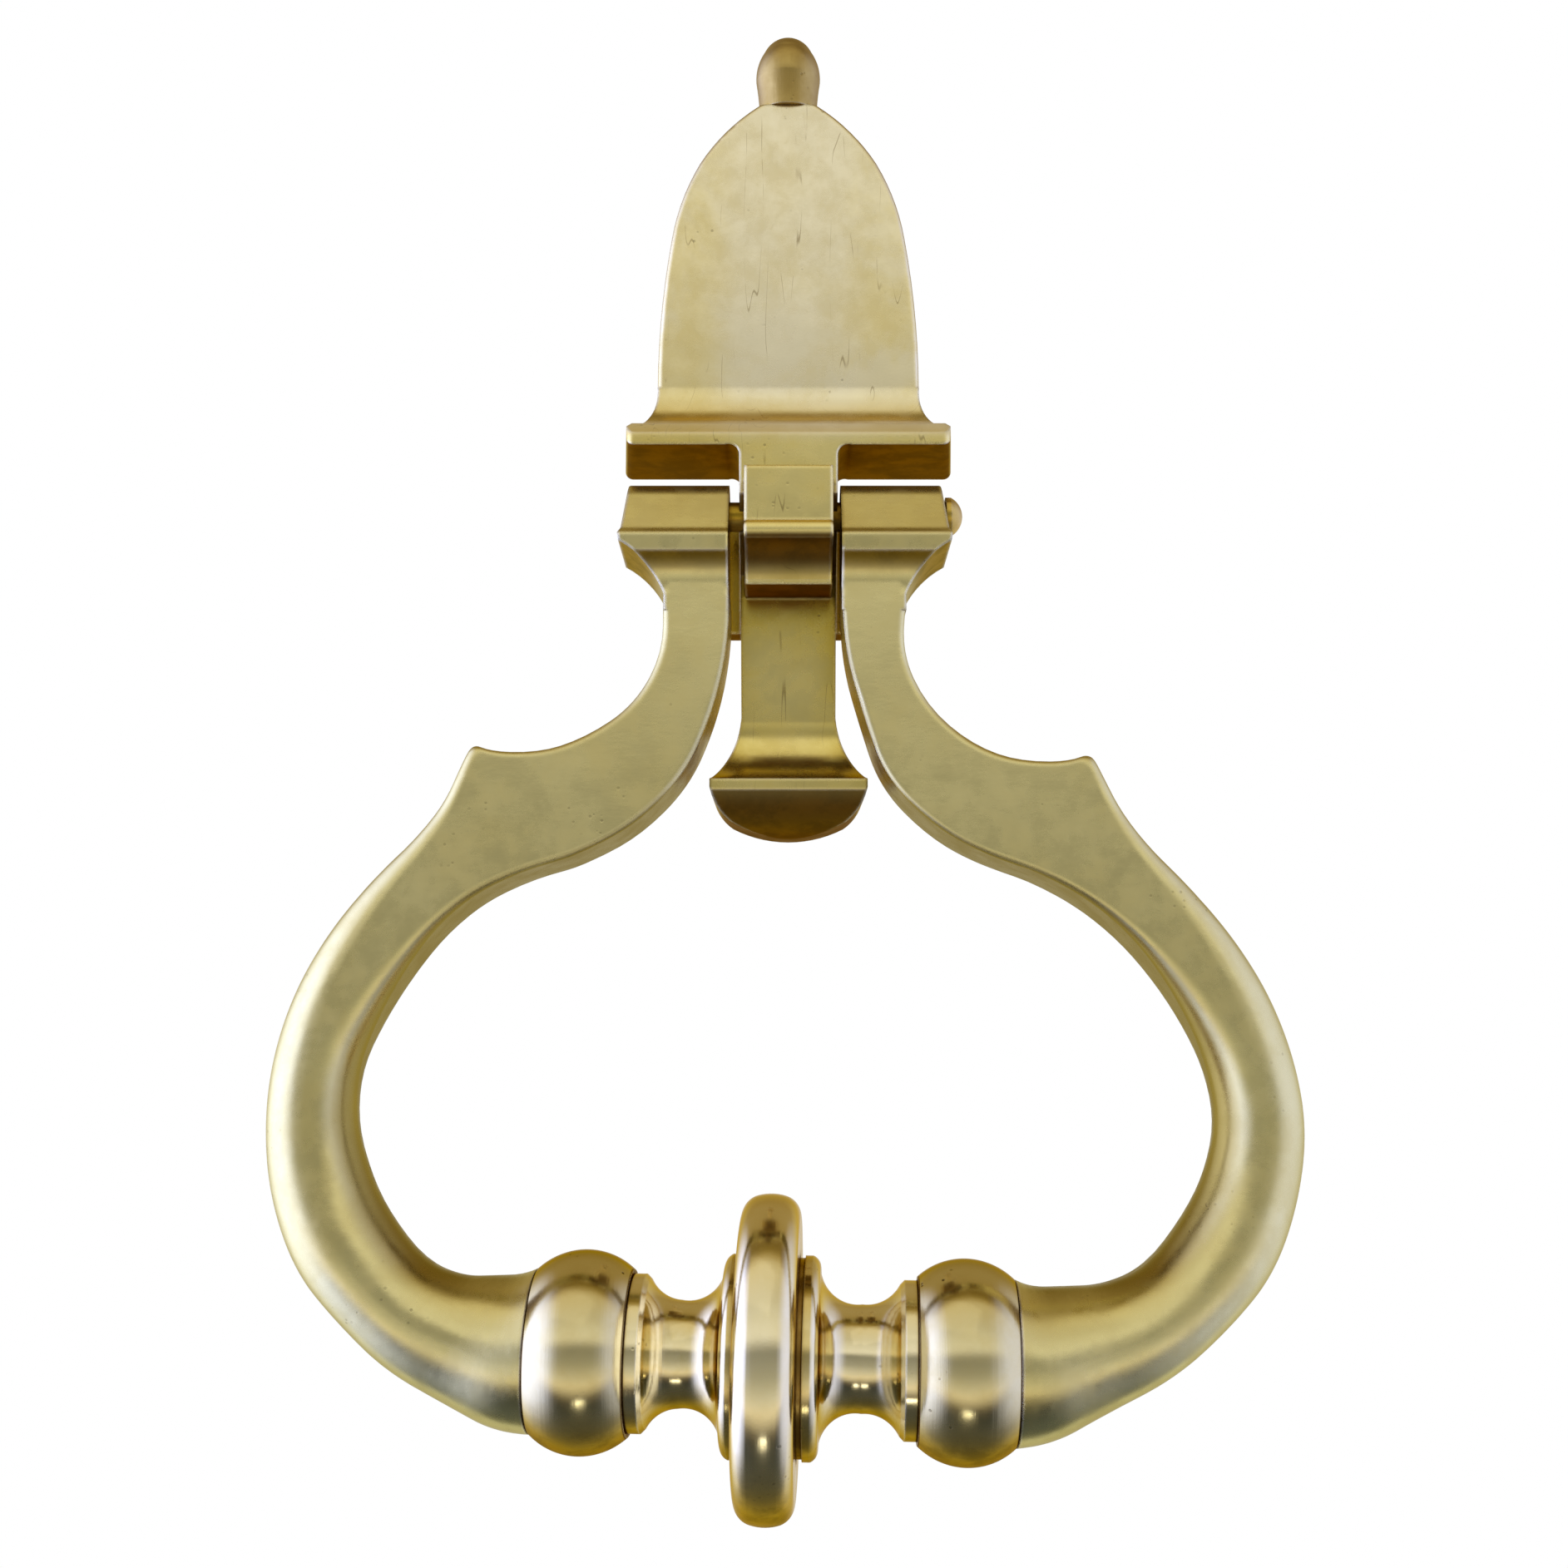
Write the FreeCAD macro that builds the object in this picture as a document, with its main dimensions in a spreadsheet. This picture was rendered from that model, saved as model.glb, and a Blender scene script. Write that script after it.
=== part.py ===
import FreeCAD, Part
import math
import os
import Sketcher

# Brass ring knocker on a dome-shaped back plate.
# The door's face is the plane Y = 0, the front faces -Y, +Z is up and +X is the right-hand side.
# The origin lies on the door's face straight behind the middle of the hinge pin. Millimetres.

SIZES = {
    # back plate
    "plate_depth": 10.0,
    "shelf_depth": 21.0,
    "tongue_depth": 12.0,
    "shelf_top": 25.0,
    "shelf_edge_top": 13.4,
    "shelf_under": 11.4,
    "shelf_half_width": 29.2,
    "shelf_front_half": 27.3,
    "lug_half_width": 8.3,
    "lug_front_low": 3.0,
    "lug_slope_low": -9.0,
    "dome_half_width": 22.9,
    "dome_top": 77.3,
    "finial_seat_half": 5.2,
    "web_half_width": 11.2,
    "web_depth": 6.0,
    "web_top": 5.0,
    "web_bottom": -18.0,
    "foot_bottom": -54.0,
    "foot_lip_depth": 19.2,
    "block_half_width": 7.3,
    "block_top": 5.5,
    "block_front": 29.0,
    "block_under": -12.9,
    "soft_edge": 0.9,
    "corner_edge": 1.4,
    "worn_edge": 0.45,
    "hollow_depth": 5.0,
    "hollow_low": 17.0,
    "hollow_high": 66.0,
    "hollow_half_width": 18.4,
    "boss_radius": 7.0,
    "cut_margin": 40.0,
    # hinge
    "pin_stand_off": 16.5,
    "pin_radius": 2.5,
    "pin_running_gap": 0.05,
    "pin_head_radius": 3.3,
    "pin_head_length": 2.9,
    "pin_head_edge": 0.9,
    "pin_blind_end": 23.6,
    "ring_lean": 3.566,
    "ring_slide": 0.6,
    # ears
    "ear_inner": 9.4,
    "ear_outer": 27.2,
    "ear_barrel_radius": 5.3,
    "ear_rear": 6.4,
    "ear_rear_top": -10.0,
    "ear_bottom": -18.0,
    "least_flat": 0.12,
    # turned grip, measured from the middle of the ring
    "grip_drop": 136.9,
    "grip_slide": 1.75,
    "grip_roll": 1.2,
    "grip_yaw": 2.2,
    "seam_half": 37.5,
    "ball_inner": 22.3,
    "ball_inner_radius": 12.6,
    "ball_middle": 29.5,
    "ball_radius": 15.5,
    "ball_end_radius": 12.5,
    "collar_radius": 12.0,
    "collar_inner": 20.3,
    "waist_middle": 14.2,
    "waist_shift": -0.45,
    "waist_radius": 8.15,
    "flange_radius": 15.4,
    "flange_width": 1.2,
    "disc_radius": 24.8,
    "disc_half_width": 4.65,
    "disc_middle": -0.8,
    "washer_thickness": 0.9,
    "washer_radius": 15.0,
    "rod_radius": 4.0,
    "rod_half_length": 50.0,
    "rod_hole_gap": 0.2,
    # studs, washers and nuts on the inside of the door
    "upper_stud_height": 50.0,
    "lower_stud_height": -28.0,
    "stud_radius": 3.0,
    "stud_thread_radius": 2.7,
    "stud_grip_end": 40.0,
    "stud_end": 57.0,
    "stud_in_plate": 7.0,
    "stud_relief_radius": 4.6,
    "stud_relief_depth": 1.0,
    "door_thickness": 45.0,
    "door_washer_radius": 7.0,
    "door_washer_thickness": 1.5,
    "nut_corner_radius": 5.77,
    "nut_height": 5.0,
    "nut_crown_radius": 6.15,
    # finial
    "finial_axis_depth": 5.75,
    "finial_neck_radius": 5.15,
    "finial_belly_radius": 5.75,
    "finial_belly_height": 6.2,
    "finial_height": 14.3,
    "spigot_radius": 2.0,
    "spigot_length": 9.0,
}

# Ribs across one arm, from the ear to the ball, in the flat of the ring with the pin at 0, 0:
# outer x and z, inner x and z, half thickness, outer edge radius, inner edge radius, degrees that
# both arms hang askew there, and how far the rib has come over to the grip's own slant (0 to 1).
ARM_RIBS = [
    (20.2, -13.0, 9.3, -13.0, 6.4, 1.0, 0.7, 0, 0, 0, 0),
    (19.9, -20.0, 9.4, -20.0, 6.4, 1.1, 0.7, 0, 0, 0.2, 0.2),
    (21.3, -28.5, 10.7, -29.1, 6.4, 1.2, 0.7, 0.2, 0, 0.4, 0.4),
    (26.7, -36.1, 13.6, -39.0, 6.42, 1.3, 0.8, 0.5, 0, 0.45, 0.6),
    (34.4, -40.9, 18.9, -48.5, 6.5, 1.4, 0.8, 0.8, 0, 0.4, 0.6),
    (42.5, -42.5, 26.1, -54.9, 6.6, 1.5, 0.9, 0.8, 0, 0.3, 0.6),
    (48.3, -41.9, 32.0, -58.1, 6.65, 1.6, 0.9, 0.8, 0, 0.2, 0.6),
    (50.1, -41.6, 35.7, -59.6, 6.67, 1.7, 1.0, 0.8, 0, 0.1, 0.6),
    (51.0, -42.4, 37.9, -60.3, 6.69, 1.8, 1.0, 0.8, 0, 0, 0.55),
    (52.3, -45.1, 39.7, -60.9, 6.71, 1.9, 1.0, 0.8, 0, -0.1, 0.55),
    (54.6, -50.0, 43.3, -62.4, 6.76, 2.1, 1.1, 0.8, 0, -0.3, 0.5),
    (58.7, -55.7, 48.6, -65.3, 6.84, 2.6, 1.3, 0.8, 0, -0.35, 0.45),
    (65.2, -62.3, 54.6, -70.2, 6.95, 3.8, 1.8, 0.7, 0, -0.25, 0.45),
    (72.4, -70.8, 60.1, -77.0, 7.1, 5.2, 3.0, 0.5, 0, -0.1, 0.4),
    (78.2, -80.7, 64.6, -84.7, 7.25, 6.4, 4.6, 0.3, 0, 0, 0.2),
    (81.4, -90.5, 67.4, -91.7, 7.4, 7.1, 6.2, 0.15, 0, 0, 0),
    (82.5, -100.2, 68.4, -99.2, 7.5, 7.2, 7.0, 0, 0, 0, 0.1),
    (81.6, -109.9, 67.1, -106.4, 7.6, 7.3, 7.2, 0, 0, 0, 0.35),
    (78.3, -120.2, 64.2, -113.0, 8.1, 7.8, 7.8, 0, 0, 0, 0.35),
    (72.1, -129.3, 58.8, -120.4, 8.5, 8.2, 8.2, 0, 0.1, 0, 0.35),
    (64.1, -136.9, 52.5, -124.6, 9.0, 8.7, 8.7, 0, 0.3, 0.15, 0.3),
    (55.1, -142.6, 47.2, -125.5, 9.8, 9.5, 9.5, 0, 0.6, 0.35, 0.1),
    (46.2, -147.2, 42.0, -125.5, 11.2, 10.9, 10.9, 0, 0.9, 0.3, 0),
    (37.5, -149.4, 37.5, -124.4, 12.5, 12.2, 12.2, 0, 1, 0, 0),
]
LOFT_DEGREE = 2
RIB_CELLS = ("outer_x", "outer_z", "inner_x", "inner_z", "half_thick", "outer_round",
             "inner_round", "askew", "share", "outer_uneven", "inner_uneven")
EIGHTH_TURN = math.sqrt(0.5)

# Points of the outlines that aren't one of the sizes above.
POINTS = {
    "dome_shoulder": (20.6, 52.6),
    "dome_side": (22.25, 40.0),
    "dome_haunch": (15.7, 66.5),
    "dome_upper": (18.7, 60.0),
    "dome_crown": (11.4, 72.1),
    "side_cove": (24.2, 18.6),
    "side_cove_end": (27.4, 14.9),
    "shelf_end_high": (28.6, 14.2),
    "shelf_end_top": (29.2, 13.1),
    "shelf_end_low": (29.2, 12.3),
    "shelf_end_turn": (28.9, 11.7),
    "shelf_end_under": (28.3, 11.4),
    "lug_corner": (10.7, 9.5),
    "lug_corner_mid": (9.0, 11.1),
    "flare_start": (8.0, -33.8),
    "flare": (9.5, -39.6),
    "flare_end": (13.1, -45.0),
    "fan_side": (13.1, -46.3),
    "fan_turn": (12.0, -49.2),
    "fan_corner": (9.6, -51.7),
    "front_cove": (-12.9, 18.2),
    "front_cove_end": (-19.2, 15.6),
    "foot_cove_start": (-12.0, -34.5),
    "foot_cove": (-13.4, -41.4),
    "foot_cove_end": (-17.6, -44.6),
    "foot_lip_low": (-19.2, -46.8),
    "foot_under": (-13.4, -52.0),
    "foot_under_end": (-4.0, -54.0),
    "block_lip_start": (-29.0, -3.8),
    "block_lip": (-30.1, -5.2),
    "block_lip_end": (-29.3, -6.8),
    "block_cove": (-24.4, -8.8),
    "block_cove_end": (-22.2, -12.2),
    "ear_lip_top": (-8.5, -4.7),
    "ear_lip_edge": (-9.5, -5.8),
    "ear_lip_low": (-9.2, -8.6),
    "ear_cove": (-7.0, -11.2),
    "ear_cove_end": (-6.4, -15.3),
    "ear_top_side": (25.3, 5.35),
    "ear_top_turn": (25.95, 5.0),
    "ear_top_end": (26.3, 4.1),
    "ear_side_lip": (27.1, -4.7),
    "ear_side_edge": (27.6, -5.8),
    "ear_side_low": (27.4, -7.0),
    "ear_side_cove": (23.2, -10.2),
    "ear_side_end": (20.0, -15.3),
    "waist_outer": (19.6, 11.3),
    "waist_outer_mid": (17.6, 9.1),
    "waist_inner_mid": (3.3, 9.4),
    "waist_inner": (1.2, 13.2),
    "flange_edge": (0.8, 14.8),
    "disc_side": (4.65, 21.2),
    "disc_turn": (3.9, 23.4),
    "disc_shoulder": (2.2, 24.5),
    "finial_neck": (5.3, 2.6),
    "finial_side": (5.45, 9.1),
    "finial_crown": (4.4, 11.4),
}

doc = FreeCAD.newDocument("door_knocker")
sheet = doc.addObject("Spreadsheet::Sheet", "sizes")


def fill_sheet():
    """Writes every size as a plain number with its alias."""
    cells = dict(SIZES)
    for name, (first, second) in POINTS.items():
        cells[name + "_a"] = first
        cells[name + "_b"] = second
    for number, rib in enumerate(ARM_RIBS):
        for cell, value in zip(RIB_CELLS, rib):
            cells[f"rib_{number}_{cell}"] = value
    for row, (name, value) in enumerate(cells.items(), start=1):
        sheet.set(f"A{row}", name)
        sheet.set(f"B{row}", str(value))
        sheet.setAlias(f"B{row}", name)
    doc.recompute()


def size(name):
    """The number in a cell; a leading minus sign turns it round."""
    if isinstance(name, (int, float)):
        return float(name)
    if name.startswith("-"):
        return -getattr(sheet, name[1:])
    return getattr(sheet, name)


def bind(thing, field, name):
    """Ties one property of an object to a cell, or to a formula of cells."""
    thing.setExpression(field, name)


def point(name):
    """The two cells of a named outline point."""
    return (name + "_a", name + "_b")


def flip(step):
    """The same step of an outline on the other side of the vertical axis."""
    def turned(name):
        if isinstance(name, (int, float)):
            return -name
        return name[1:] if name.startswith("-") else "-" + name
    return tuple(turned(name) if place % 2 == 0 else name for place, name in enumerate(step))


def make_body(name):
    body = doc.addObject("PartDesign::Body", name)
    body.Label = name
    return body


def sketch_on(body, plane, name):
    """An empty sketch on one of the body's own origin planes."""
    sketch = body.newObject("Sketcher::SketchObject", name)
    for feature in body.Origin.OriginFeatures:
        if feature.Role == plane:
            sketch.AttachmentSupport = [(feature, "")]
    sketch.MapMode = "FlatFace"
    return sketch


def tie_point(sketch, geometry, end, across, along):
    """Holds one end of a line or arc at two cells, measured from the sketch's origin."""
    for kind, name, axis in (("DistanceX", across, -2), ("DistanceY", along, -1)):
        value = size(name)
        if value == 0:
            sketch.addConstraint(Sketcher.Constraint("PointOnObject", geometry, end, axis))
            continue
        ends = (-1, 1, geometry, end) if value > 0 else (geometry, end, -1, 1)
        index = sketch.addConstraint(Sketcher.Constraint(kind, *ends, abs(value)))
        if not isinstance(name, (int, float)):
            bare = name.lstrip("-")
            sign = "" if getattr(sheet, bare) > 0 else "-"
            sketch.setExpression(f"Constraints[{index}]", f"{sign}sizes.{bare}")


def outline(sketch, steps):
    """A closed outline: the first step is the start, a step of two names is a line to that
    point, and a step of four is an arc through the first point to the second."""
    places = [(size(step[-2]), size(step[-1])) for step in steps]
    ends = []
    for number, step in enumerate(steps[1:] + [steps[0]], start=1):
        start = FreeCAD.Vector(*places[number - 1], 0)
        finish = FreeCAD.Vector(*places[number % len(steps)], 0)
        if number < len(steps) and len(step) == 4:
            through = FreeCAD.Vector(size(step[0]), size(step[1]), 0)
            index = sketch.addGeometry(Part.Arc(start, through, finish), False)
            first = sketch.getPoint(index, 1)
            forward = first.distanceToPoint(start) < first.distanceToPoint(finish)
            ends.append((index, 1, 2) if forward else (index, 2, 1))
            radius = sketch.Geometry[index].Radius
            sketch.addConstraint(Sketcher.Constraint("Radius", index, radius))
        else:
            index = sketch.addGeometry(Part.LineSegment(start, finish), False)
            ends.append((index, 1, 2))
    for number, (index, begin, _) in enumerate(ends):
        before, _, end = ends[number - 1]
        sketch.addConstraint(Sketcher.Constraint("Coincident", before, end, index, begin))
        tie_point(sketch, index, begin, steps[number][-2], steps[number][-1])


def pad(body, sketch, name, length, symmetric=False):
    feature = body.newObject("PartDesign::Pad", name)
    feature.Profile = sketch
    feature.SideType = "Symmetric" if symmetric else "One side"
    bind(feature, "Length", length)
    doc.recompute()
    return feature


def pocket(body, sketch, name, length=None, flipped=False):
    """Cuts a sketch out of the body, right through on both sides if no length is given."""
    before = body.Shape.Volume
    feature = body.newObject("PartDesign::Pocket", name)
    feature.Profile = sketch
    if length is None:
        feature.SideType = "Symmetric"
        feature.Type = "ThroughAll"
    else:
        bind(feature, "Length", length)
    feature.Reversed = flipped
    doc.recompute()
    if body.Shape.Volume >= before - 1:
        raise RuntimeError(f"{name} cuts nothing")
    return feature


def cap_middle(radius, start, top):
    """A point half way up a round cap whose centre lies on its axis: how far along the axis
    it is, and how far from it."""
    drop = size(top) - size(start)
    ball = (size(radius) ** 2 + drop ** 2) / (2 * drop)
    half_turn = math.atan2(size(radius), ball - drop) / 2
    return size(top) - ball + ball * math.cos(half_turn), ball * math.sin(half_turn)


def revolve(body, sketch, axis, name):
    feature = body.newObject("PartDesign::Revolution", name)
    feature.Profile = sketch
    feature.ReferenceAxis = (sketch, [axis])
    feature.Angle = 360
    doc.recompute()
    return feature


def round_edges(body, name, radius, wanted):
    """Rounds the edges of the body's last shape that the test picks out by their geometry."""
    tip = body.Tip
    names = [f"Edge{n}" for n, edge in enumerate(tip.Shape.Edges, start=1) if wanted(edge)]
    feature = body.newObject("PartDesign::Fillet", name)
    feature.Base = (tip, names)
    bind(feature, "Radius", radius)
    doc.recompute()
    return feature


def circle_at(sketch, across, along, radius):
    """A circle tied to cells for its centre and radius."""
    centre = FreeCAD.Vector(size(across), size(along), 0)
    normal = FreeCAD.Vector(0, 0, 1)
    index = sketch.addGeometry(Part.Circle(centre, normal, size(radius)), False)
    tie_point(sketch, index, 3, across, along)
    place = sketch.addConstraint(Sketcher.Constraint("Radius", index, size(radius)))
    sketch.setExpression(f"Constraints[{place}]", f"sizes.{radius}")


def cylinder(name, radius, height, place, direction):
    """A round bar whose size comes from cells, from a place along a direction."""
    bar = doc.addObject("Part::Cylinder", name)
    bind(bar, "Radius", radius)
    bind(bar, "Height", height)
    turn = FreeCAD.Rotation(FreeCAD.Vector(0, 0, 1), FreeCAD.Vector(*direction))
    bar.Placement = FreeCAD.Placement(FreeCAD.Vector(*place), turn)
    return bar


def cut(name, base, *tools):
    """The base with each tool taken out of it in turn."""
    for number, tool in enumerate(tools):
        last = number == len(tools) - 1
        taken = doc.addObject("Part::Cut", name if last else f"{name}_cut_{number}")
        taken.Base = base
        taken.Tool = tool
        base = taken
    base.Label = name
    return base


def slant(share):
    """How the grip sits askew in the flat of the ring, turned about its own middle."""
    skew = FreeCAD.Vector(0, size("grip_roll"), -size("grip_yaw"))
    turn = FreeCAD.Rotation(skew, skew.Length * share)
    middle = FreeCAD.Vector(0, 0, -size("grip_drop"))
    slide = FreeCAD.Vector(-size("grip_slide") * share, 0, 0)
    return FreeCAD.Placement(slide, turn, middle)


def place_on_ring(thing, local=None):
    """Puts a piece modelled in the flat of the ring into its place on the leaning ring."""
    lean = FreeCAD.Rotation(FreeCAD.Vector(-1, 0, 0), size("ring_lean"))
    pin = FreeCAD.Vector(-size("ring_slide"), -size("pin_stand_off"), 0)
    thing.Placement = FreeCAD.Placement(pin, lean).multiply(local or FreeCAD.Placement())


def grip_place():
    """The place of a piece modelled about the grip's middle, in the flat of the ring."""
    down = FreeCAD.Placement(FreeCAD.Vector(0, 0, -size("grip_drop")), FreeCAD.Rotation())
    return slant(1.0).multiply(down)


def frame_outline(sketch, steps):
    """Everything in a wide square but the outline: a pocket of it leaves only the outline."""
    margin = size("cut_margin") * 2
    corners = [(-margin, -margin), (margin, -margin), (margin, margin), (-margin, margin)]
    outline(sketch, corners)
    outline(sketch, steps)


# ---------------------------------------------------------------- back plate

def shelf_and_tongue(body):
    """The moulded shelf, the lug and the tongue with its fan foot, seen from the front, then
    cut to their side profile, so that the shelf's cove is mitred round its corners."""
    right = [
        ("dome_half_width", "shelf_top"),
        point("side_cove") + point("side_cove_end"),
        point("shelf_end_high") + point("shelf_end_top"),
        point("shelf_end_low"),
        point("shelf_end_turn") + ("shelf_end_under_a", "shelf_under"),
        ("lug_corner_a", "shelf_under"),
        point("lug_corner_mid") + ("lug_half_width", "lug_corner_b"),
        point("flare_start"),
        point("flare") + point("flare_end"),
        point("fan_side"),
        point("fan_turn") + point("fan_corner"),
    ]
    left = mirrored_back(right)
    bottom = (0, "foot_bottom") + flip(point("fan_corner"))
    front = sketch_on(body, "XZ_Plane", "shelf_front")
    outline(front, right + [bottom] + left)
    pad(body, front, "shelf_pad", "sizes.shelf_depth")

    side = sketch_on(body, "YZ_Plane", "shelf_side")
    frame_outline(side, [
        (0, "shelf_top"),
        ("-plate_depth", "shelf_top"),
        point("front_cove") + point("front_cove_end"),
        ("-shelf_depth", "shelf_edge_top"),
        ("-shelf_depth", "lug_front_low"),
        ("-tongue_depth", "lug_slope_low"),
        point("foot_cove_start"),
        point("foot_cove") + point("foot_cove_end"),
        ("-foot_lip_depth", "flare_end_b"),
        point("foot_lip_low"),
        point("foot_under") + point("foot_under_end"),
        (0, "foot_bottom"),
    ])
    pocket(body, side, "shelf_profile")

    plan = sketch_on(body, "XY_Plane", "shelf_plan")
    frame_outline(plan, [
        ("shelf_half_width", 0),
        ("shelf_front_half", "-shelf_depth"),
        ("-shelf_front_half", "-shelf_depth"),
        ("-shelf_half_width", 0),
    ])
    pocket(body, plan, "shelf_draft")

    web = sketch_on(body, "XZ_Plane", "web_front")
    outline(web, [
        ("web_half_width", "web_top"),
        ("-web_half_width", "web_top"),
        ("-web_half_width", "web_bottom"),
        ("web_half_width", "web_bottom"),
    ])
    pad(body, web, "web_pad", "sizes.web_depth")


def mirrored_back(right):
    """The steps of the other side, from the last point of one side back to its first."""
    ends = [step[-2:] for step in right]
    steps = []
    for number in range(len(right) - 1, 0, -1):
        step = right[number]
        target = ends[number - 1]
        steps.append(flip(step[:2] + target if len(step) == 4 else target))
    return steps


def dome():
    """The dome-shaped upper plate, from the bottom of the shelf to the finial's seat."""
    body = make_body("dome")
    right = [
        ("dome_half_width", "shelf_edge_top"),
        ("dome_half_width", "shelf_top"),
        point("dome_side") + point("dome_shoulder"),
        point("dome_upper") + point("dome_haunch"),
        point("dome_crown") + ("finial_seat_half", "dome_top"),
    ]
    front = sketch_on(body, "XZ_Plane", "dome_front")
    outline(front, right + [flip(("finial_seat_half", "dome_top"))] + mirrored_back(right))
    pad(body, front, "dome_pad", "sizes.plate_depth")
    round_edges(body, "dome_edge", "sizes.soft_edge", is_dome_edge)
    return body


def hinge_block(body):
    """The block that the hinge pin runs through, with the bead and cove under its front."""
    block = sketch_on(body, "YZ_Plane", "block_side")
    outline(block, [
        ("-plate_depth", "block_top"),
        ("-block_front", "block_top"),
        point("block_lip_start"),
        point("block_lip") + point("block_lip_end"),
        point("block_cove") + point("block_cove_end"),
        ("block_cove_end_a", "block_under"),
        ("-plate_depth", "block_under"),
    ])
    pad(body, block, "block_pad", "2 * sizes.block_half_width", symmetric=True)
    round_edges(body, "shelf_corners", "sizes.corner_edge", is_shelf_corner)
    round_edges(body, "block_edges", "sizes.worn_edge", is_block_edge)


def hollow():
    """The casting's hollow back behind the dome, around the boss of the upper stud."""
    body = make_body("hollow")
    back = sketch_on(body, "XZ_Plane", "hollow_back")
    outline(back, [
        ("-hollow_half_width", "hollow_low"),
        ("hollow_half_width", "hollow_low"),
        ("hollow_half_width", "upper_stud_height"),
        (0, "hollow_high") + ("-hollow_half_width", "upper_stud_height"),
    ])
    circle_at(back, 0, "upper_stud_height", "boss_radius")
    pad(body, back, "hollow_pad", "sizes.hollow_depth")
    return body


def back_plate():
    lower = make_body("shelf_and_tongue")
    shelf_and_tongue(lower)
    hinge_block(lower)
    upper = dome()
    casting = doc.addObject("Part::Fuse", "plate_casting")
    casting.Base = lower
    casting.Tool = upper
    casting.Refine = True
    bore = cylinder("pin_bore", "sizes.pin_radius + sizes.pin_running_gap", "sizes.cut_margin",
                    (-size("cut_margin") / 2, -size("pin_stand_off"), 0), (1, 0, 0))
    holes = [hollow(), bore]
    for height in ("upper_stud_height", "lower_stud_height"):
        holes.append(cylinder("stud_hole", "sizes.stud_thread_radius", "sizes.stud_in_plate",
                              (0, 0, size(height)), (0, -1, 0)))
        holes.append(cylinder("stud_relief", "sizes.stud_relief_radius",
                              "sizes.stud_relief_depth", (0, 0, size(height)), (0, -1, 0)))
    holes.append(cylinder("spigot_hole", "sizes.spigot_radius", "sizes.spigot_length",
                          (0, -size("finial_axis_depth"), size("dome_top")), (0, 0, -1)))
    return cut("back_plate", casting, *holes)


def is_dome_edge(edge):
    """The curved sides of the dome's front face."""
    box = edge.BoundBox
    front = abs(box.YMin + size("plate_depth")) < 0.01 and abs(box.YMax - box.YMin) < 0.01
    return front and box.ZLength > 0.01


def is_shelf_corner(edge):
    """The upright front corners of the shelf's fascia, and the edges under its two ends."""
    box = edge.BoundBox
    upright = box.XLength < 0.01 and box.YLength < 0.01
    corner = upright and abs(abs(box.XMin) - size("shelf_front_half")) < 0.01 and box.YMin < -1
    low = box.ZLength < 0.01 and abs(box.ZMin - size("shelf_under")) < 0.01
    reach = abs(box.YMin + size("shelf_depth")) < 0.01
    end = low and reach and 0.01 < box.XLength < 2 and box.YLength > 5
    return corner or end


def is_block_edge(edge):
    """The side edges of the block's front, lip and cove, and its top front edge."""
    box = edge.BoundBox
    side = box.XLength < 0.01 and abs(abs(box.XMin) - size("block_half_width")) < 0.01
    proud = box.YMax < -size("shelf_depth") - 0.5
    across = box.YMin < -size("block_front") + 0.1 and box.ZLength < 0.01 and box.YLength < 0.01
    return proud and (side or (across and box.ZMin > 0))


def acorn_finial():
    body = make_body("acorn_finial")
    half = sketch_on(body, "XZ_Plane", "finial_half")
    belly = ("finial_belly_radius", "finial_belly_height")
    along, across = cap_middle("finial_crown_a", "finial_crown_b", "finial_height")
    outline(half, [
        (0, "-spigot_length"),
        ("spigot_radius", "-spigot_length"),
        ("spigot_radius", 0),
        ("finial_neck_radius", 0),
        point("finial_neck") + belly,
        point("finial_side") + point("finial_crown"),
        (across, along, 0, "finial_height"),
    ])
    revolve(body, half, "V_Axis", "finial_turned")
    body.Placement.Base = FreeCAD.Vector(0, -size("finial_axis_depth"), size("dome_top"))
    return body


# ---------------------------------------------------------------- hinge pin and arms

def hinge_pin():
    body = make_body("hinge_pin")
    half = sketch_on(body, "XY_Plane", "pin_half")
    head_start = size("ear_outer") + size("pin_head_edge")
    head_end = size("ear_outer") + size("pin_head_length")
    along, across = cap_middle("pin_head_radius", head_start, head_end)
    outline(half, [
        ("-pin_blind_end", 0),
        ("-pin_blind_end", "pin_radius"),
        ("ear_outer", "pin_radius"),
        ("ear_outer", "pin_head_radius"),
        (head_start, "pin_head_radius"),
        (along, across, head_end, 0),
    ])
    revolve(body, half, "H_Axis", "pin_turned")
    place_on_ring(body)
    return body


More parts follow.
